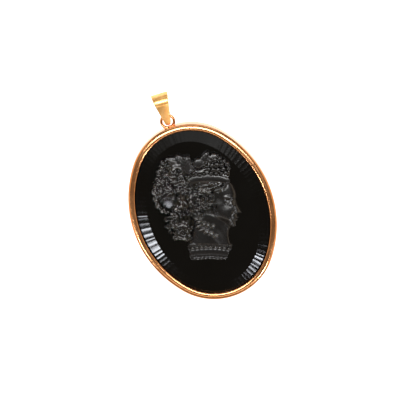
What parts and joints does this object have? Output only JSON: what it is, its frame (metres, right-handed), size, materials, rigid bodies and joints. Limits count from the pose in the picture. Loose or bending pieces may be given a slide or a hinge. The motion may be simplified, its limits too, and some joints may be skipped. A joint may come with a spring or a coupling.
{
  "type": "cameo pendant",
  "caption": "Oval cameo pendant: raised classical head on a black stone with a faceted bevel, rounded gold-coloured bezel with a soldered ring, and a tapered folded bail that swings.",
  "frame": {"origin": "middle of the bezel's flat back, on the plane that the pendant lies on", "axes": "+X to the right seen from the front, +Y along the oval's length towards the bail, +Z out of the front"},
  "size_m": [0.0326, 0.0502, 0.005],
  "materials": {
    "bezel_gold": "polished rose-gold plate",
    "bail_gold": "satin yellow-gold plate",
    "black_glass": "polished facets and table, matt raised head"
  },
  "bodies": {
    "setting": {"bezel": "bezel_gold", "stone": "black_glass"},
    "bail": {"bail": "bail_gold"}
  },
  "joints": [
    {"name": "bail_swing", "type": "hinge", "parent": "setting", "child": "bail", "pos_m": [0.0001, 0.02375, 0.0015], "axis": [0.9976, -0.0698, 0], "range_deg": [-110, 100]}
  ]
}
